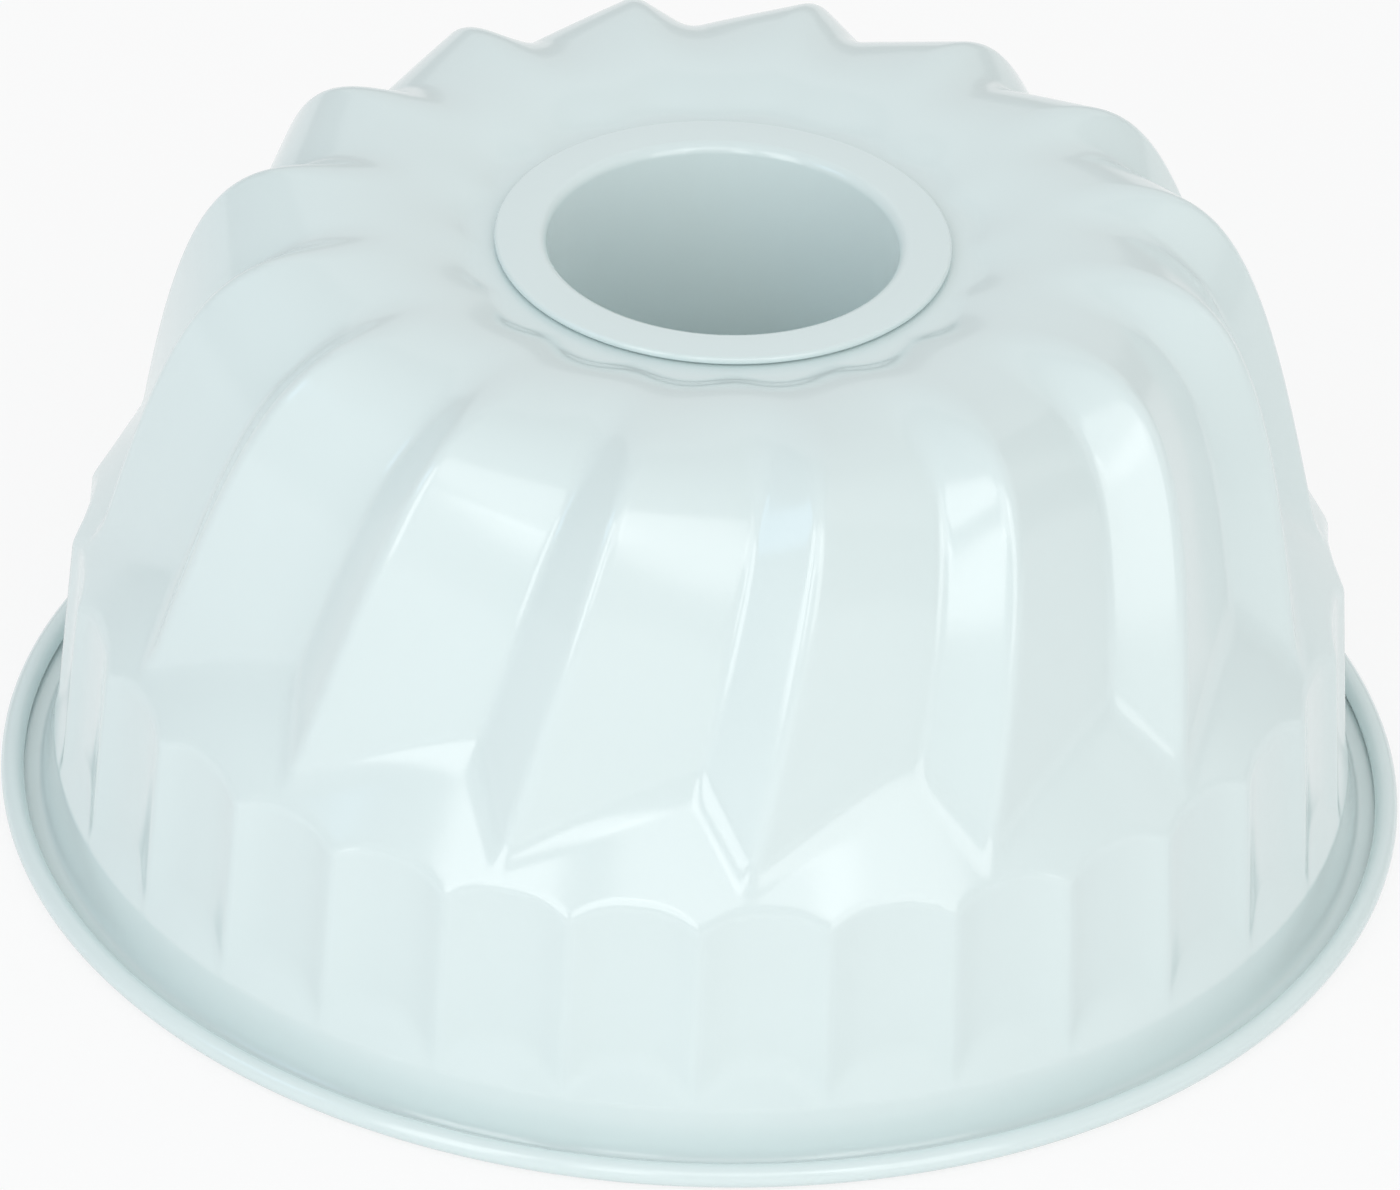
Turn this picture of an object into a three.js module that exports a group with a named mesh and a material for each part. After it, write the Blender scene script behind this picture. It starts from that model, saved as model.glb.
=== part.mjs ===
// Mini kugelhopf pan, standing on its rim with the fluted crown up.
// Millimetres, +Z up. The pan's axis is Z and the underside of its rim lies on Z = 0.
// Azimuths are measured from the -Y side, counter-clockwise seen from above.
import * as THREE from 'three';

// Sheet steel and the clearance left where pieces are crimped together
const SHEET = 0.5;
const SEAM_GAP = 0.2;

// Rolled rim, curled outward and up around a wire
const RIM_RADIUS = 80;
const BEAD_RADIUS = 1.3;
const FLANGE_WIDTH = 2.8;
const CURL_SWEEP = 290;

// Skirt and scalloped band above the rim, two scallops to each flute
const SKIRT_FLARE = 1.9;
const BAND_FOOT_HEIGHT = 6.5;
const BAND_TOP_HEIGHT = 28.5;
const BAND_TAPER = 1.7;
const SCALLOP_DEPTH = 1;
const FIRST_SCALLOP = 0.6;
const SILL_ANGLE = 73;

// Sloping ledge that the flutes run down into, measured from the horizontal
const LEDGE_ANGLE = 53;

// Leaning flutes: each has a wide face and a steep narrow face, and dies out on the crown
const FLUTE_COUNT = 16;
const FLUTE_DEPTH = 4.5;
const STEEP_SHARE = 0.3;
const FLUTE_TURN = 8.5;
const FIRST_VALLEY = -2.5;
const FADE_START = 7;
const FADE_LENGTH = 24;

// Outline along a flute's ridge: wall, shoulder and crown
const RIDGE_SETBACK = 2.5;
const RIDGE_FOOT_RISE = 1.5;
const WALL_DRAFT = 12.5;
const WALL_FULLNESS = 33;
const SHOULDER_WIDTH = 25.3;
const CROWN_HEIGHT = 74.5;
const CROWN_FULLNESS = 15;
const CROWN_BROW = 10;

// Flat seat for the collar, and the collar of the centre tube, a little below the crown
const SEAT_WIDTH = 1.8;
const COLLAR_RADIUS = 25.4;
const COLLAR_SINK = 2.3;
const COLLAR_THICKNESS = 0.9;
const COLLAR_EDGE_RADIUS = 0.4;

// Centre tube, narrower toward its open foot
const BORE_RADIUS = 19.6;
const BORE_FOOT_RADIUS = 14.5;
const TUBE_FOOT_HEIGHT = 4;
const LIP_RADIUS = 0.9;
const CRIMP_HEIGHT = 1.6;
const CRIMP_WIDTH = 1.2;

// Places that follow from the sizes above
const BEAD_AXIS_RADIUS = RIM_RADIUS - BEAD_RADIUS;
const CURL_INNER_RADIUS = BEAD_RADIUS - SHEET;
const WIRE_RADIUS = CURL_INNER_RADIUS - SEAM_GAP;
const SKIRT_FOOT_RADIUS = BEAD_AXIS_RADIUS - FLANGE_WIDTH;
const BAND_FOOT_RADIUS = SKIRT_FOOT_RADIUS - SKIRT_FLARE;
const BAND_TOP_RADIUS = BAND_FOOT_RADIUS - BAND_TAPER;
const RIDGE_FOOT_RADIUS = BAND_TOP_RADIUS - RIDGE_SETBACK;
const RIDGE_FOOT_HEIGHT = BAND_TOP_HEIGHT + RIDGE_FOOT_RISE;
const CROWN_RADIUS = RIDGE_FOOT_RADIUS - SHOULDER_WIDTH;
const COLLAR_HEIGHT = CROWN_HEIGHT - COLLAR_SINK;
const SEAT_HEIGHT = COLLAR_HEIGHT - COLLAR_THICKNESS - SEAM_GAP;
const SEAT_RADIUS = COLLAR_RADIUS + SEAT_WIDTH;
const NECK_RADIUS = BORE_RADIUS + SHEET;
const HOLE_RADIUS = NECK_RADIUS + SEAM_GAP;
const PITCH = 360 / FLUTE_COUNT;

// Fineness of the faceted solids
const PROFILE_STEPS = 160;
const WIDE_COLUMNS = 6;
const TUBE_SEGMENTS = 48;
const WIRE_SEGMENTS = 64;
const WIRE_SIDES = 4;
const CURL_STEPS = 6;

const radians = THREE.MathUtils.degToRad;
const lerp = THREE.MathUtils.lerp;

// Ridge outline from the seat over the crown and down to the foot, with the strength and the
// turn of the flutes at each point. The flutes lean on the wall and run straight over the crown.
function ridgeOutline() {
  const foot = new THREE.Vector2(RIDGE_FOOT_RADIUS, RIDGE_FOOT_HEIGHT);
  const crown = new THREE.Vector2(CROWN_RADIUS, CROWN_HEIGHT);
  const seat = new THREE.Vector2(SEAT_RADIUS, SEAT_HEIGHT);
  const draft = radians(WALL_DRAFT);
  const wallHandle = new THREE.Vector2(-Math.sin(draft), Math.cos(draft));
  wallHandle.multiplyScalar(WALL_FULLNESS).add(foot);
  const crownHandle = new THREE.Vector2(CROWN_RADIUS + CROWN_FULLNESS, CROWN_HEIGHT);
  const brow = new THREE.Vector2(CROWN_RADIUS - CROWN_BROW, CROWN_HEIGHT);
  const inner = new THREE.QuadraticBezierCurve(seat, brow, crown);
  const outer = new THREE.CubicBezierCurve(crown, crownHandle, wallHandle, foot);

  const outline = [];
  for (const curve of [inner, outer]) {
    for (let i = 0; i < PROFILE_STEPS; i += 1) {
      const t = i / (PROFILE_STEPS - 1);
      const point = curve.getPoint(t);
      const along = curve.getTangent(t);
      outline.push({ r: point.x, z: point.y, nr: -along.y, nz: along.x });
    }
  }
  let length = 0;
  for (let i = 0; i < outline.length; i += 1) {
    const here = outline[i];
    const last = outline[Math.max(i - 1, 0)];
    length += Math.hypot(here.r - last.r, here.z - last.z);
    const fade = THREE.MathUtils.clamp((length - FADE_START) / FADE_LENGTH, 0, 1);
    here.strength = (1 - Math.cos(Math.PI * fade)) / 2;
    here.turn = (FLUTE_TURN * (here.z - RIDGE_FOOT_HEIGHT)) / (CROWN_HEIGHT - RIDGE_FOOT_HEIGHT);
  }
  return outline;
}

const OUTLINE = ridgeOutline();

// Height of the flute across one pitch: 0 in the valley, 1 on the ridge
function fluteHeight(share) {
  return share < STEEP_SHARE ? share / STEEP_SHARE : (1 - share) / (1 - STEEP_SHARE);
}

// How far a flat face lies inside the arc between its two edges, for a radius of 1
function faceSag(share) {
  const isSteep = share < STEEP_SHARE;
  const half = (isSteep ? STEEP_SHARE : 1 - STEEP_SHARE) / 2;
  const middle = isSteep ? half : 1 - half;
  return ((half ** 2 - (share - middle) ** 2) * radians(PITCH) ** 2) / 2;
}

// Point of the fluted surface at a place along the outline (0 seat, 1 foot) and across a pitch
function flutePoint(place, share) {
  const index = place * (OUTLINE.length - 1);
  const low = Math.min(Math.floor(index), OUTLINE.length - 2);
  const part = index - low;
  const at = (name) => lerp(OUTLINE[low][name], OUTLINE[low + 1][name], part);
  const sag = faceSag(share) * at('r') * Math.max(at('nr'), 0);
  const drop = at('strength') * (FLUTE_DEPTH * (1 - fluteHeight(share)) + sag);
  const r = at('r') - at('nr') * drop;
  const z = at('z') - at('nz') * drop;
  return { r, z, azimuth: FIRST_VALLEY + share * PITCH + at('turn') };
}

function bisect(low, high, isBelow) {
  for (let i = 0; i < 60; i += 1) {
    const middle = (low + high) / 2;
    if (isBelow(middle)) low = middle;
    else high = middle;
  }
  return (low + high) / 2;
}

const ledgeRadius = (z) => BAND_TOP_RADIUS - (z - BAND_TOP_HEIGHT) / Math.tan(radians(LEDGE_ANGLE));

function bandRadius(z) {
  const share = (z - BAND_FOOT_HEIGHT) / (BAND_TOP_HEIGHT - BAND_FOOT_HEIGHT);
  return lerp(BAND_FOOT_RADIUS, BAND_TOP_RADIUS, share);
}

// Depth of the scallops across one pitch, two hollows with a ridge between them
function scallopDepth(share) {
  const across = ((share * 2) % 1) * 2 - 1;
  return SCALLOP_DEPTH * (1 - across * across);
}

// One meridian of the body's outer face, from the edge of the centre hole to the foot ring.
// It follows a share of the flute's pitch, then a share of the scallops' pitch below the ledge.
function bodyMeridian(fluteShare, bandShare) {
  const points = [{ r: HOLE_RADIUS, z: SEAT_HEIGHT, azimuth: FIRST_VALLEY + fluteShare * PITCH + FLUTE_TURN }];
  const crownPlace = 0.5;
  const lastPlace = 0.89;
  for (const place of [0, 0.27, crownPlace, 0.6, 0.68, 0.75, 0.82, lastPlace]) {
    points.push(flutePoint(place, fluteShare));
  }
  const isInside = (place) => {
    const point = flutePoint(place, fluteShare);
    return point.r < ledgeRadius(point.z);
  };
  const footPlace = bisect(1, crownPlace, isInside);
  points.push(flutePoint((lastPlace + footPlace) / 2, fluteShare));
  points.push(flutePoint(footPlace, fluteShare));

  const azimuth = FIRST_SCALLOP + bandShare * PITCH;
  const hollow = scallopDepth(bandShare);
  const isUnderBand = (z) => bandRadius(z) - hollow < ledgeRadius(z);
  const topHeight = bisect(BAND_FOOT_HEIGHT, CROWN_HEIGHT, isUnderBand);
  points.push({ r: ledgeRadius(topHeight), z: topHeight, azimuth });
  const sillSlope = 1 / Math.tan(radians(SILL_ANGLE)) - BAND_TAPER / (BAND_TOP_HEIGHT - BAND_FOOT_HEIGHT);
  const sillHeight = BAND_FOOT_HEIGHT + hollow / sillSlope;
  points.push({ r: bandRadius(sillHeight) - hollow, z: sillHeight, azimuth });

  const skirtTop = new THREE.Vector2(BAND_FOOT_RADIUS, BAND_FOOT_HEIGHT);
  const skirtBend = new THREE.Vector2(bandRadius(SHEET), SHEET);
  const skirtFoot = new THREE.Vector2(SKIRT_FOOT_RADIUS, SHEET);
  const skirt = new THREE.QuadraticBezierCurve(skirtTop, skirtBend, skirtFoot);
  for (const t of [0, 0.4, 0.7, 1]) {
    const point = skirt.getPoint(t);
    points.push({ r: point.x, z: point.y, azimuth });
  }
  return points;
}

function toVector({ r, z, azimuth }, turn) {
  const angle = radians(azimuth + turn);
  return new THREE.Vector3(r * Math.sin(angle), -r * Math.cos(angle), z);
}

// Rows of the curl in the (r, z) plane: round the wire inside, then back outside to the foot
function curlRows() {
  const rows = [];
  const at = (radius, degrees) => ({
    r: BEAD_AXIS_RADIUS + radius * Math.cos(radians(degrees)),
    z: BEAD_RADIUS + radius * Math.sin(radians(degrees)),
  });
  for (let i = 0; i <= CURL_STEPS; i += 1) {
    rows.push(at(CURL_INNER_RADIUS, -90 + (CURL_SWEEP * i) / CURL_STEPS));
  }
  for (let i = CURL_STEPS; i >= 0; i -= 1) {
    rows.push(at(BEAD_RADIUS, -90 + (CURL_SWEEP * i) / CURL_STEPS));
  }
  return rows;
}

// Closed skin through a ring of rows, each row a closed ring of points
function skinGeometry(rows) {
  const columns = rows[0].length;
  const positions = rows.flat().flatMap((point) => [point.x, point.y, point.z]);
  const index = [];
  for (let i = 0; i < rows.length; i += 1) {
    const next = (i + 1) % rows.length;
    for (let j = 0; j < columns; j += 1) {
      const right = (j + 1) % columns;
      const a = i * columns + j;
      const b = next * columns + j;
      const c = next * columns + right;
      const d = i * columns + right;
      index.push(a, b, c, a, c, d);
    }
  }
  const geometry = new THREE.BufferGeometry();
  geometry.setAttribute('position', new THREE.Float32BufferAttribute(positions, 3));
  geometry.setIndex(index);
  geometry.computeVertexNormals();
  return geometry;
}

// Directions square to the outer face at every point, from its neighbours in the grid
function gridNormals(rows) {
  const columns = rows[0].length;
  return rows.map((row, i) => row.map((point, j) => {
    const down = rows[Math.min(i + 1, rows.length - 1)][j].clone();
    down.sub(rows[Math.max(i - 1, 0)][j]);
    const round = row[(j + 1) % columns].clone().sub(row[(j + columns - 1) % columns]);
    const normal = down.cross(round).normalize();
    const isFlat = i === 0 || i === rows.length - 1;
    return isFlat ? new THREE.Vector3(0, 0, 1) : normal;
  }));
}

// Drawn body: hole, seat, crown, flutes, ledge, band, skirt, foot ring and rolled rim in one sheet
function makeBody() {
  const shares = [0, STEEP_SHARE / 2];
  for (let i = 0; i < WIDE_COLUMNS; i += 1) {
    shares.push(lerp(STEEP_SHARE, 1, i / WIDE_COLUMNS));
  }
  const meridians = shares.map((share, i) => bodyMeridian(share, i / shares.length));
  const ring = (pick) => {
    const row = [];
    for (let flute = 0; flute < FLUTE_COUNT; flute += 1) {
      for (let column = 0; column < shares.length; column += 1) {
        row.push(toVector(pick(column), flute * PITCH));
      }
    }
    return row;
  };
  const outer = meridians[0].map((_, i) => ring((column) => meridians[column][i]));
  const normals = gridNormals(outer);
  const inner = outer.map((row, i) => row.map((point, j) => {
    return point.clone().addScaledVector(normals[i][j], -SHEET);
  }));
  const footOf = (column) => meridians[column][meridians[column].length - 1].azimuth;
  const curl = curlRows().map((row) => ring((column) => ({ ...row, azimuth: footOf(column) })));
  return skinGeometry([...outer, ...curl, ...inner.reverse()]);
}

// Centre tube: tapered, with a hemmed collar on the seat and a crimp under the seat that locks it
function makeTube() {
  const seatUnderside = SEAT_HEIGHT - SHEET;
  const crimpTop = seatUnderside - SEAM_GAP;
  const crimpRadius = HOLE_RADIUS + CRIMP_WIDTH;
  const edgeAxis = COLLAR_RADIUS - COLLAR_EDGE_RADIUS;
  const underside = COLLAR_HEIGHT - COLLAR_THICKNESS;
  const lipAxis = BORE_RADIUS + LIP_RADIUS;
  const quarter = Math.PI / 2;
  const profile = new THREE.Path();
  profile.moveTo(BORE_FOOT_RADIUS, TUBE_FOOT_HEIGHT);
  profile.lineTo(BORE_FOOT_RADIUS + SHEET, TUBE_FOOT_HEIGHT);
  profile.lineTo(NECK_RADIUS, crimpTop - CRIMP_HEIGHT);
  profile.lineTo(crimpRadius, crimpTop - CRIMP_HEIGHT * 0.7);
  profile.lineTo(crimpRadius, crimpTop - CRIMP_HEIGHT * 0.3);
  profile.lineTo(NECK_RADIUS, crimpTop);
  profile.lineTo(NECK_RADIUS, underside);
  profile.lineTo(edgeAxis, underside);
  profile.absarc(edgeAxis, underside + COLLAR_EDGE_RADIUS, COLLAR_EDGE_RADIUS, -quarter, 0, false);
  profile.absarc(edgeAxis, COLLAR_HEIGHT - COLLAR_EDGE_RADIUS, COLLAR_EDGE_RADIUS, 0, quarter, false);
  profile.lineTo(lipAxis, COLLAR_HEIGHT);
  profile.absarc(lipAxis, COLLAR_HEIGHT - LIP_RADIUS, LIP_RADIUS, quarter, Math.PI, false);
  profile.lineTo(BORE_FOOT_RADIUS, TUBE_FOOT_HEIGHT);
  return latheAboutZ(profile.getPoints(2), TUBE_SEGMENTS);
}

// Steel wire closed into a ring inside the rolled rim
function makeWire() {
  const section = new THREE.Path();
  section.absarc(BEAD_AXIS_RADIUS, BEAD_RADIUS, WIRE_RADIUS, 0, Math.PI * 2, false);
  return latheAboutZ(section.getPoints(WIRE_SIDES), WIRE_SEGMENTS);
}

// Turns an (r, z) profile about Z
function latheAboutZ(points, segments) {
  const geometry = new THREE.LatheGeometry(points, segments);
  geometry.rotateX(Math.PI / 2);
  return geometry;
}

function mesh(name, geometry, color, roughness, metalness) {
  const piece = new THREE.Mesh(geometry, new THREE.MeshStandardMaterial({ color, roughness, metalness }));
  piece.name = name;
  return piece;
}

const pan = new THREE.Group();
pan.name = 'mini_kugelhopf_pan';
pan.add(mesh('fluted_body', makeBody(), '#dbeceb', 0.35, 0));
pan.add(mesh('centre_tube', makeTube(), '#d5e8e8', 0.35, 0));
pan.add(mesh('rim_wire', makeWire(), '#a9adb0', 0.4, 1));

export default pan;
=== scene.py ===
import math

import bpy
import numpy as np
from mathutils import Matrix, Vector


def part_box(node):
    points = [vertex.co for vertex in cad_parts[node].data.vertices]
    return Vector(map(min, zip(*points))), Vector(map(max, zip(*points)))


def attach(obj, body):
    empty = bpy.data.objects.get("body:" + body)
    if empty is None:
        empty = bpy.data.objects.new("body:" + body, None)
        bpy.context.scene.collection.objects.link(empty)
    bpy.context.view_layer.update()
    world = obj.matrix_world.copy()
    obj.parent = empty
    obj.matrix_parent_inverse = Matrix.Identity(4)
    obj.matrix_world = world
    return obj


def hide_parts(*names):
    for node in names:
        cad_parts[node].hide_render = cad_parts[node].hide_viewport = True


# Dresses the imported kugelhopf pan: a finely drawn fluted shell, its crimped centre tube, the mint
# coat, a pale studio and the photograph's camera. Sizes are in millimetres and become metres last.
MM = 0.001

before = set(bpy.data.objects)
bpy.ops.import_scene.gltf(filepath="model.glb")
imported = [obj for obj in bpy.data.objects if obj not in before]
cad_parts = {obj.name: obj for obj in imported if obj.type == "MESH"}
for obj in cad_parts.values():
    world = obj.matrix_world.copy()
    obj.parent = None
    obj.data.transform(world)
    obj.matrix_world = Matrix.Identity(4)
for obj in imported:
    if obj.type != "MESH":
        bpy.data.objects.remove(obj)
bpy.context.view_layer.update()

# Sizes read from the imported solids
BODY_LOW, BODY_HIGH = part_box("fluted_body")
TUBE_LOW, TUBE_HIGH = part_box("centre_tube")
RIM_RADIUS = (BODY_HIGH.x - BODY_LOW.x) / 2 / MM
CROWN_HEIGHT = BODY_HIGH.z / MM
COLLAR_RADIUS = (TUBE_HIGH.x - TUBE_LOW.x) / 2 / MM
COLLAR_HEIGHT = TUBE_HIGH.z / MM
TUBE_FOOT_HEIGHT = TUBE_LOW.z / MM

# Sheet steel and crimped seams
SHEET = 0.5
SEAM_GAP = 0.2

# Rolled rim
BEAD_RADIUS = 1.3
FLANGE_WIDTH = 2.8
CURL_SWEEP = 290

# Scalloped band above the rim
BAND_FOOT_HEIGHT = 6.5
BAND_FOOT_RADIUS = 74
BAND_TOP_HEIGHT = 28.5
BAND_TOP_RADIUS = 72.3
SCALLOP_DEPTH = 1.4
SCALLOP_FLATNESS = 2.6
FIRST_SCALLOP = 0.6
SILL_ANGLE = 70
LEDGE_ANGLE = 53

# Leaning flutes
FLUTE_COUNT = 16
FLUTE_DEPTH = 4.5
STEEP_SHARE = 0.3
FLUTE_TURN = 8.5
FIRST_VALLEY = -2.5
FADE_START = 7
FADE_LENGTH = 24

# Outline along a flute's ridge
RIDGE_FOOT_RADIUS = 69.8
RIDGE_FOOT_HEIGHT = 30
WALL_DRAFT = 12.5
WALL_FULLNESS = 33
CROWN_RADIUS = 44.5
CROWN_FULLNESS = 15
CROWN_BROW = 10

# Collar and centre tube
SEAT_WIDTH = 1.8
LOBE_DEPTH = 0.9
LOBE_REACH = 3.5
FIRST_LOBE = 15
COLLAR_THICKNESS = 0.9
COLLAR_EDGE_RADIUS = 0.4
BORE_RADIUS = 19.6
BORE_FOOT_RADIUS = 14.5
LIP_RADIUS = 1.3
CRIMP_HEIGHT = 1.6
CRIMP_WIDTH = 1.2

# Soft edges that drawing leaves on the sheet
RIDGE_ROUND = 1
VALLEY_ROUND = 0.8
CROWN_ROUND = 2.5
LEDGE_ROUND = 1.4
BAND_EDGE_ROUND = 0.6
SCALLOP_ROUND = 1.8
SILL_ROUND = 0.5
SEAT_ROUND = 0.5
MOST_SOFT = 0.45  # of the narrow face's width

# Places that follow
BEAD_AXIS_RADIUS = RIM_RADIUS - BEAD_RADIUS
SKIRT_FOOT_RADIUS = BEAD_AXIS_RADIUS - FLANGE_WIDTH
SEAT_HEIGHT = COLLAR_HEIGHT - COLLAR_THICKNESS - SEAM_GAP
SEAT_RADIUS = COLLAR_RADIUS + SEAT_WIDTH
NECK_RADIUS = BORE_RADIUS + SHEET
HOLE_RADIUS = NECK_RADIUS + SEAM_GAP
PITCH = 360 / FLUTE_COUNT

# Fineness of the meshes. Below the split the rows lie at even heights, where flutes and band meet.
COLUMNS = FLUTE_COUNT * 60
SEAT_ROWS = 10
CROWN_ROWS = 60
WALL_ROWS = 90
SPLIT_HEIGHT = 48
SPLIT_GAP = 1
LOW_STEP = 0.3
SKIRT_ROWS = 24
CURL_ROWS = 20
SECTION_SAMPLES = 720
TUBE_COLUMNS = 288
TUBE_ROWS = 24

# Camera at the photograph's angle, from the ellipses of the rim and the collar
CAMERA_DISTANCE = 1164.98
CAMERA_ELEVATION = 34.441
CAMERA_ROLL = 2.512
CAMERA_PAN = -0.0432
CAMERA_TILT = 1.0067
LENS = 261.02

# Studio. The floor's gap under the rim is in millimetres, and the other lengths are in metres.
FLOOR_GAP = 0.2
FLOOR_SIZE = 6
LIGHT_DISTANCE = 1.2
LIGHT_TARGET = Vector((0, 0, 0.04))
WORLD_LIGHT = 0.61
WHITE_SHARE = 0.8


def bezier(points, t):
    """Points of a Bezier curve of any order, by repeated interpolation."""
    layer = [np.asarray(p, float)[None, :] for p in points]
    t = t[:, None]
    while len(layer) > 1:
        layer = [a * (1 - t) + b * t for a, b in zip(layer, layer[1:])]
    return layer[0]


def soft_max(a, b, width):
    """The larger of two values, with a rounded hollow where they meet."""
    near = np.maximum(width - np.abs(a - b), 0)
    return np.maximum(a, b) + near * near / (4 * width)


def soft_min(a, b, width):
    return -soft_max(-np.asarray(a), -np.asarray(b), width)


def ridge_outline():
    """Radius, height, outward direction and flute strength along a ridge, from seat to foot."""
    seat = (SEAT_RADIUS - SEAT_ROUND, SEAT_HEIGHT - SEAT_ROUND)
    crown = (CROWN_RADIUS, CROWN_HEIGHT)
    foot = (RIDGE_FOOT_RADIUS, RIDGE_FOOT_HEIGHT)
    draft = math.radians(WALL_DRAFT)
    inward, upward = WALL_FULLNESS * math.sin(draft), WALL_FULLNESS * math.cos(draft)
    wall_handle = (foot[0] - inward, foot[1] + upward)
    crown_handle = (CROWN_RADIUS + CROWN_FULLNESS, CROWN_HEIGHT)
    brow = (CROWN_RADIUS - CROWN_BROW, CROWN_HEIGHT)
    inner = bezier([seat, brow, crown], np.linspace(0, 1, CROWN_ROWS, endpoint=False))
    outer = bezier([crown, crown_handle, wall_handle, foot], np.linspace(0, 1, WALL_ROWS))
    line = np.vstack([inner, outer])
    along = np.gradient(line, axis=0)
    along /= np.linalg.norm(along, axis=1)[:, None]
    length = np.concatenate([[0], np.cumsum(np.linalg.norm(np.diff(line, axis=0), axis=1))])
    fade = np.clip((length - FADE_START) / FADE_LENGTH, 0, 1)
    strength = (1 - np.cos(np.pi * fade)) / 2
    return line[:, 0], line[:, 1], -along[:, 1], along[:, 0], strength


def flute_section(radius, upright, strength):
    """Drop below the ridge at even shares of one pitch, with flat faces and soft corners."""
    count = SECTION_SAMPLES
    share = (np.arange(count) + 0.5) / count
    steep = share < STEEP_SHARE
    height = np.where(steep, share / STEEP_SHARE, (1 - share) / (1 - STEEP_SHARE))
    half = np.where(steep, STEEP_SHARE, 1 - STEEP_SHARE) / 2
    middle = np.where(steep, STEEP_SHARE / 2, (1 + STEEP_SHARE) / 2)
    chord = (half ** 2 - (share - middle) ** 2) * math.radians(PITCH) ** 2 / 2
    drop = strength * (FLUTE_DEPTH * (1 - height) + chord * radius * max(upright, 0))
    pitch_length = radius * math.radians(PITCH)
    soft = VALLEY_ROUND + (RIDGE_ROUND - VALLEY_ROUND) * height + CROWN_ROUND * (1 - strength)
    soft = np.minimum(soft / pitch_length, STEEP_SHARE * MOST_SOFT)
    total = np.concatenate([[0], np.cumsum(np.tile(drop, 3))]) / count
    edges = np.arange(3 * count + 1) / count
    upper = np.interp(share + 1 + soft, edges, total)
    lower = np.interp(share + 1 - soft, edges, total)
    return share, (upper - lower) / (2 * soft)


def fluted_rows(azimuth):
    """Radii, heights and turn of the fluted surface, a row for each point of the ridge outline."""
    r, z, nr, nz, strength = ridge_outline()
    turn = FLUTE_TURN * (z - RIDGE_FOOT_HEIGHT) / (CROWN_HEIGHT - RIDGE_FOOT_HEIGHT)
    place = ((azimuth - FIRST_VALLEY) / PITCH) % 1
    radii, heights = [], []
    for i in range(len(r)):
        share, drop = flute_section(r[i], nr[i], strength[i])
        local = np.interp(place, share, drop, period=1)
        height = z[i] - nz[i] * local
        if r[i] < CROWN_RADIUS:
            wave = (1 + np.cos(np.radians((azimuth + turn[i] - FIRST_LOBE) * FLUTE_COUNT))) / 2
            lobes = LOBE_DEPTH * wave * math.exp((SEAT_RADIUS - r[i]) / LOBE_REACH)
            height = soft_max(height - lobes, SEAT_HEIGHT, SEAT_ROUND)
        radii.append(r[i] - nr[i] * local)
        heights.append(height)
    return np.array(radii), np.array(heights), turn


def band_radius(height):
    share = (height - BAND_FOOT_HEIGHT) / (BAND_TOP_HEIGHT - BAND_FOOT_HEIGHT)
    return BAND_FOOT_RADIUS + (BAND_TOP_RADIUS - BAND_FOOT_RADIUS) * share


def scallop(azimuth):
    """Depth of the scallops round the band, with slightly softened ridges between them."""
    across = (((azimuth - FIRST_SCALLOP) / PITCH * 2) % 1) * 2 - 1
    distance = 1 - np.abs(across)
    soft = SCALLOP_ROUND / (BAND_TOP_RADIUS * math.radians(PITCH / 4))
    distance = soft_max(distance, 0, soft)
    return SCALLOP_DEPTH * (1 - (1 - np.minimum(distance, 1)) ** SCALLOP_FLATNESS)


def lower_radius(flutes, azimuth, height):
    """Outer radius below the split: flutes that run into the ledge, and the band under it."""
    ledge = BAND_TOP_RADIUS - (height - BAND_TOP_HEIGHT) / math.tan(math.radians(LEDGE_ANGLE))
    rise = max(height - BAND_FOOT_HEIGHT, 0)
    taper = band_radius(BAND_FOOT_HEIGHT + rise) - BAND_FOOT_RADIUS
    sill = rise / math.tan(math.radians(SILL_ANGLE)) + taper
    hollow = np.maximum(soft_min(scallop(azimuth), sill, SILL_ROUND), 0)
    drum = soft_min(ledge, band_radius(height) - hollow, BAND_EDGE_ROUND)
    return soft_max(flutes, drum, LEDGE_ROUND)


def skirt_rows():
    """Smooth skirt from under the band, bending out into the flat foot ring."""
    top = (BAND_FOOT_RADIUS, BAND_FOOT_HEIGHT)
    bend = (band_radius(SHEET), SHEET)
    return bezier([top, bend, (SKIRT_FOOT_RADIUS, SHEET)], np.linspace(0, 1, SKIRT_ROWS))


def to_points(azimuth, radii, heights):
    angle = np.radians(azimuth)
    return np.stack([radii * np.sin(angle), -radii * np.cos(angle), heights + 0 * angle], axis=-1)


def body_grid(azimuth):
    """Outer face of the drawn body as rows of points, whose columns turn with the flutes."""
    flute_r, flute_z, turn = fluted_rows(azimuth)
    rows = []
    for radius in np.linspace(HOLE_RADIUS, SEAT_RADIUS - SEAT_ROUND, SEAT_ROWS, endpoint=False):
        rows.append(to_points(azimuth + turn[0], radius, SEAT_HEIGHT))
    for i in np.flatnonzero(flute_z.min(axis=1) > SPLIT_HEIGHT):
        rows.append(to_points(azimuth + turn[i], flute_r[i], flute_z[i]))
    rising_z, rising_r, rising_turn = flute_z.T[:, ::-1], flute_r.T[:, ::-1], turn[::-1]
    for height in np.arange(SPLIT_HEIGHT - SPLIT_GAP, BAND_FOOT_HEIGHT, -LOW_STEP):
        turned = azimuth + [np.interp(height, z, rising_turn) for z in rising_z]
        flutes = np.array([np.interp(height, z, r) for z, r in zip(rising_z, rising_r)])
        rows.append(to_points(turned, lower_radius(flutes, turned, height), height))
    for radius, height in skirt_rows():
        rows.append(to_points(azimuth, radius, height))
    return np.array(rows)


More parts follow.
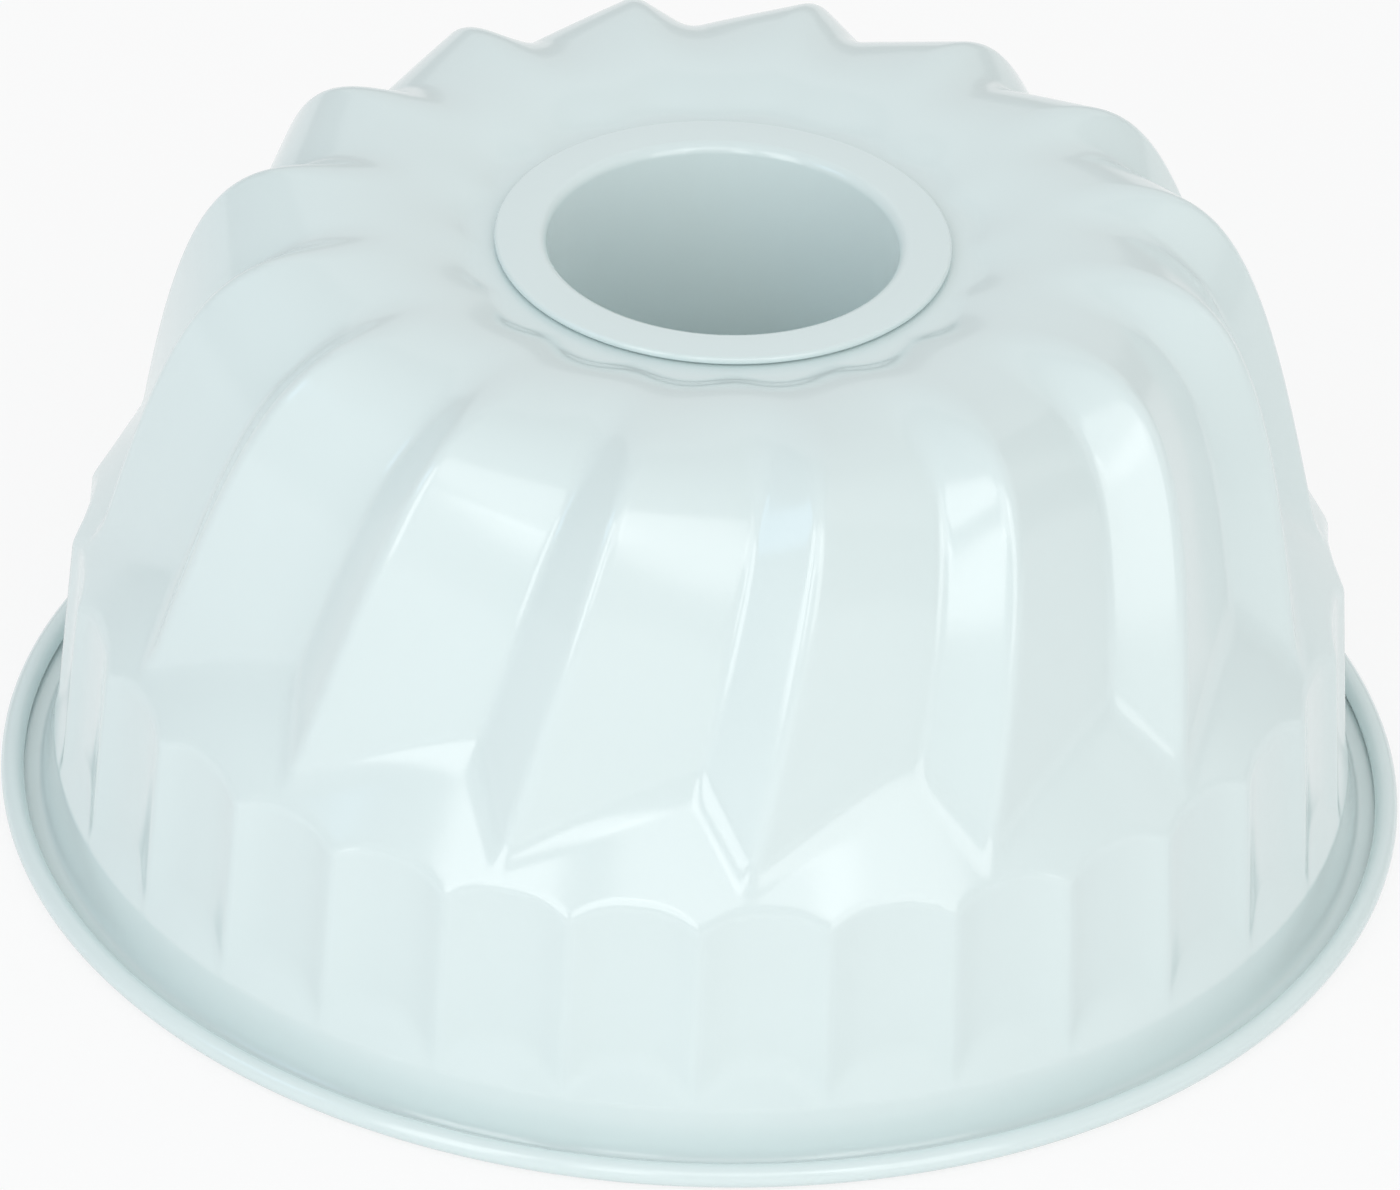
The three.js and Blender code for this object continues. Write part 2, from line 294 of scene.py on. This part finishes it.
def grid_normals(points):
    """Outward directions of a grid that runs down its rows and round its columns."""
    down = np.gradient(points, axis=0)
    round_ = np.roll(points, -1, axis=1) - np.roll(points, 1, axis=1)
    normals = np.cross(down, round_)
    return normals / np.linalg.norm(normals, axis=2)[..., None]


def curl_rows(azimuth):
    """The sheet's edge rolled round the wire: inside of the curl, then back along its outside."""
    turns = np.radians(-90 + np.linspace(0, CURL_SWEEP, CURL_ROWS))
    rows = [(BEAD_RADIUS - SHEET, a) for a in turns] + [(BEAD_RADIUS, a) for a in turns[::-1]]
    places = [(BEAD_AXIS_RADIUS + r * math.cos(a), BEAD_RADIUS + r * math.sin(a)) for r, a in rows]
    return np.array([to_points(azimuth, radius, height) for radius, height in places])


def ring_mesh(name, rows):
    """Closed smooth mesh through a ring of rows, each a closed ring of points in millimetres."""
    count, columns = rows.shape[:2]
    i, j = np.meshgrid(np.arange(count), np.arange(columns), indexing="ij")
    here, below, right = i * columns, (i + 1) % count * columns, (j + 1) % columns
    faces = np.stack([here + j, below + j, below + right, here + right], axis=-1)
    mesh = bpy.data.meshes.new(name)
    mesh.from_pydata((rows.reshape(-1, 3) * MM).tolist(), [], faces.reshape(-1, 4).tolist())
    mesh.shade_smooth()
    piece = bpy.data.objects.new(name, mesh)
    bpy.context.scene.collection.objects.link(piece)
    return piece


def make_body():
    azimuth = np.arange(COLUMNS) * 360 / COLUMNS
    outer = body_grid(azimuth)
    normals = grid_normals(outer)
    normals[0] = (0, 0, 1)
    normals[-1] = (0, 0, 1)
    inner = outer - normals * SHEET
    return ring_mesh("fluted_shell", np.concatenate([outer, curl_rows(azimuth), inner[::-1]]))


def arc(centre, radius, start, end, count=8):
    turns = np.radians(np.linspace(start, end, count))
    return [(centre[0] + radius * math.cos(a), centre[1] + radius * math.sin(a)) for a in turns]


def tube_profile():
    """Closed (r, z) profile: outside up from the foot, crimp, neck, hemmed collar, lip and bore."""
    crimp_top = SEAT_HEIGHT - SHEET - SEAM_GAP
    crimp_radius = HOLE_RADIUS + CRIMP_WIDTH
    crimp_round = CRIMP_HEIGHT / 2
    underside = COLLAR_HEIGHT - COLLAR_THICKNESS
    edge = COLLAR_RADIUS - COLLAR_EDGE_RADIUS
    lip = (BORE_RADIUS + LIP_RADIUS, COLLAR_HEIGHT - LIP_RADIUS)
    foot_radius = BORE_FOOT_RADIUS + SHEET
    profile = [(foot_radius, TUBE_FOOT_HEIGHT)]
    for share in np.linspace(0, 1, TUBE_ROWS)[1:]:
        radius = foot_radius + share * (NECK_RADIUS - foot_radius)
        height = TUBE_FOOT_HEIGHT + share * (crimp_top - CRIMP_HEIGHT - TUBE_FOOT_HEIGHT)
        profile.append((radius, height))
    profile += arc((crimp_radius - crimp_round, crimp_top - crimp_round), crimp_round, -90, 90, 10)
    profile += [(NECK_RADIUS, crimp_top), (NECK_RADIUS, underside)]
    profile += arc((edge, underside + COLLAR_EDGE_RADIUS), COLLAR_EDGE_RADIUS, -90, 0)
    profile += arc((edge, COLLAR_HEIGHT - COLLAR_EDGE_RADIUS), COLLAR_EDGE_RADIUS, 0, 90)
    profile += arc(lip, LIP_RADIUS, 90, 175, 12)
    for share in np.linspace(0, 1, TUBE_ROWS)[1:]:
        radius = BORE_RADIUS + share * (BORE_FOOT_RADIUS - BORE_RADIUS)
        profile.append((radius, lip[1] + share * (TUBE_FOOT_HEIGHT - lip[1])))
    return np.array(profile)


def make_tube():
    azimuth = np.arange(TUBE_COLUMNS) * 360 / TUBE_COLUMNS
    rows = np.array([to_points(azimuth, r, z) for r, z in tube_profile()[::-1]])
    return ring_mesh("crimped_tube", rows)


def new_material(name):
    material = bpy.data.materials.new(name)
    material.use_nodes = True
    tree = material.node_tree
    return material, tree, tree.nodes["Principled BSDF"]


def node(tree, kind, **settings):
    made = tree.nodes.new(kind)
    for key, value in settings.items():
        if key in made.inputs:
            made.inputs[key].default_value = value
        else:
            setattr(made, key, value)
    return made


def mint_coat():
    """Satin pastel coat on sheet steel: faint cloudiness, uneven gloss and a fine orange peel."""
    material, tree, shader = new_material("mint_coat")
    place = node(tree, "ShaderNodeTexCoord")
    cloud = node(tree, "ShaderNodeTexNoise", Scale=45.0, Detail=3.0)
    peel = node(tree, "ShaderNodeTexNoise", Scale=1400.0, Detail=2.0)
    colour = node(tree, "ShaderNodeValToRGB")
    colour.color_ramp.elements[0].color = (0.705, 0.81, 0.81, 1)
    colour.color_ramp.elements[1].color = (0.725, 0.83, 0.83, 1)
    gloss = node(tree, "ShaderNodeMapRange", **{"To Min": 0.12, "To Max": 0.16})
    bump = node(tree, "ShaderNodeBump", Strength=0.05, Distance=0.0001)
    for texture in (cloud, peel):
        tree.links.new(place.outputs["Object"], texture.inputs["Vector"])
    tree.links.new(cloud.outputs["Fac"], colour.inputs["Fac"])
    tree.links.new(colour.outputs["Color"], shader.inputs["Base Color"])
    tree.links.new(cloud.outputs["Fac"], gloss.inputs["Value"])
    tree.links.new(gloss.outputs["Result"], shader.inputs["Roughness"])
    tree.links.new(peel.outputs["Fac"], bump.inputs["Height"])
    tree.links.new(bump.outputs["Normal"], shader.inputs["Normal"])
    shader.inputs["Specular IOR Level"].default_value = 0.8
    return material


def wire_steel():
    """Drawn steel wire with fine streaks round the ring."""
    material, tree, shader = new_material("wire_steel")
    place = node(tree, "ShaderNodeTexCoord")
    streak = node(tree, "ShaderNodeTexNoise", Scale=900.0, Detail=4.0)
    gloss = node(tree, "ShaderNodeMapRange", **{"To Min": 0.3, "To Max": 0.5})
    tree.links.new(place.outputs["Object"], streak.inputs["Vector"])
    tree.links.new(streak.outputs["Fac"], gloss.inputs["Value"])
    tree.links.new(gloss.outputs["Result"], shader.inputs["Roughness"])
    shader.inputs["Base Color"].default_value = (0.42, 0.43, 0.44, 1)
    shader.inputs["Metallic"].default_value = 1.0
    return material


def seen_ray(tree):
    """One for rays that come from the camera or from a mirror or glass, and nought for the rest."""
    path = node(tree, "ShaderNodeLightPath")
    mirrored = node(tree, "ShaderNodeMath", operation="MAXIMUM")
    seen = node(tree, "ShaderNodeMath", operation="MAXIMUM")
    tree.links.new(path.outputs["Is Glossy Ray"], mirrored.inputs[0])
    tree.links.new(path.outputs["Is Transmission Ray"], mirrored.inputs[1])
    tree.links.new(path.outputs["Is Camera Ray"], seen.inputs[0])
    tree.links.new(mirrored.outputs["Value"], seen.inputs[1])
    return seen.outputs["Value"]


def make_floor():
    """White floor: part of it shows as plain white, and the rest takes the light and the shadow."""
    bpy.ops.mesh.primitive_plane_add(size=FLOOR_SIZE, location=(0, 0, -FLOOR_GAP * MM))
    floor = bpy.context.object
    floor.name = "floor"
    material, tree, shader = new_material("pale_floor")
    shader.inputs["Base Color"].default_value = (0.9, 0.9, 0.9, 1)
    shader.inputs["Roughness"].default_value = 0.9
    shader.inputs["Specular IOR Level"].default_value = 0.1
    white = node(tree, "ShaderNodeEmission", Color=(1, 1, 1, 1), Strength=1.0)
    share = node(tree, "ShaderNodeMapRange", **{"To Max": WHITE_SHARE})
    mix = node(tree, "ShaderNodeMixShader")
    tree.links.new(seen_ray(tree), share.inputs["Value"])
    tree.links.new(share.outputs["Result"], mix.inputs["Fac"])
    tree.links.new(shader.outputs["BSDF"], mix.inputs[1])
    tree.links.new(white.outputs["Emission"], mix.inputs[2])
    tree.links.new(mix.outputs["Shader"], tree.nodes["Material Output"].inputs["Surface"])
    floor.data.materials.append(material)


def make_light(name, azimuth, height, width, length, power, colour=(1, 1, 1)):
    """Soft box that faces the pan, with sizes in metres and power in watts."""
    lamp = bpy.data.lights.new(name, "AREA")
    lamp.shape = "RECTANGLE"
    lamp.size = width
    lamp.size_y = length
    lamp.energy = power
    lamp.color = colour
    holder = bpy.data.objects.new(name, lamp)
    a = math.radians(azimuth)
    holder.location = (LIGHT_DISTANCE * math.sin(a), -LIGHT_DISTANCE * math.cos(a), height)
    holder.rotation_euler = (LIGHT_TARGET - holder.location).to_track_quat("-Z", "Y").to_euler()
    bpy.context.scene.collection.objects.link(holder)


def make_world():
    """Even white surround, plain white where it is seen and a little weaker as a light."""
    world = bpy.data.worlds.new("studio")
    world.use_nodes = True
    tree = world.node_tree
    strength = node(tree, "ShaderNodeMapRange", **{"To Min": WORLD_LIGHT, "To Max": 1.0})
    path = node(tree, "ShaderNodeLightPath")
    tree.links.new(path.outputs["Is Camera Ray"], strength.inputs["Value"])
    tree.links.new(strength.outputs["Result"], tree.nodes["Background"].inputs["Strength"])
    tree.nodes["Background"].inputs["Color"].default_value = (1, 1, 1, 1)
    bpy.context.scene.world = world


def make_camera():
    """Camera on the -Y side that looks at the pan's foot, turned by the small fitted angles."""
    elevation, roll = math.radians(CAMERA_ELEVATION), math.radians(CAMERA_ROLL)
    pan, tilt = math.radians(CAMERA_PAN), math.radians(CAMERA_TILT)
    ahead = Vector((0, math.cos(elevation), -math.sin(elevation)))
    right = Vector((1, 0, 0))
    up = right.cross(ahead)
    level = ahead * math.cos(pan) + right * math.sin(pan)
    look = level * math.cos(tilt) + up * math.sin(tilt)
    flat_side = look.cross(up).normalized()
    flat_top = flat_side.cross(look)
    side = flat_side * math.cos(roll) + flat_top * math.sin(roll)
    top = flat_top * math.cos(roll) - flat_side * math.sin(roll)
    lens = bpy.data.cameras.new("camera")
    lens.lens = LENS
    lens.clip_start = 0.01
    camera = bpy.data.objects.new("camera", lens)
    turn = Matrix((side, top, -look)).transposed().to_4x4()
    camera.matrix_world = Matrix.Translation(-ahead * CAMERA_DISTANCE * MM) @ turn
    bpy.context.scene.collection.objects.link(camera)
    bpy.context.scene.camera = camera


def dress(piece, cad_node, material):
    piece.data.materials.append(material)
    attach(piece, "root")
    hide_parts(cad_node)


coat = mint_coat()
dress(make_body(), "fluted_body", coat)
dress(make_tube(), "centre_tube", coat)
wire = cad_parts["rim_wire"]
wire.data.materials.clear()
wire.data.materials.append(wire_steel())

make_floor()
make_world()
# Each soft box: azimuth from the camera's side, height, width, length and power
make_light("left_box", -36, 0.64, 0.45, 1.2, 3.1)
make_light("right_box", 36, 0.6, 0.55, 1.1, 2.5)
make_light("small_box", -10, 0.5, 0.25, 0.5, 0.7)
make_light("front_box", 8, 1.2, 1.1, 0.9, 3.2)
make_light("left_side", -74, 0.95, 0.5, 0.5, 1.1, (0.45, 0.72, 1))
make_light("right_side", 100, 0.8, 1.0, 1.0, 0.8)
make_light("back_box", 175, 0.9, 1.8, 1.2, 1.9)
make_camera()
bpy.context.scene.view_settings.view_transform = "Standard"
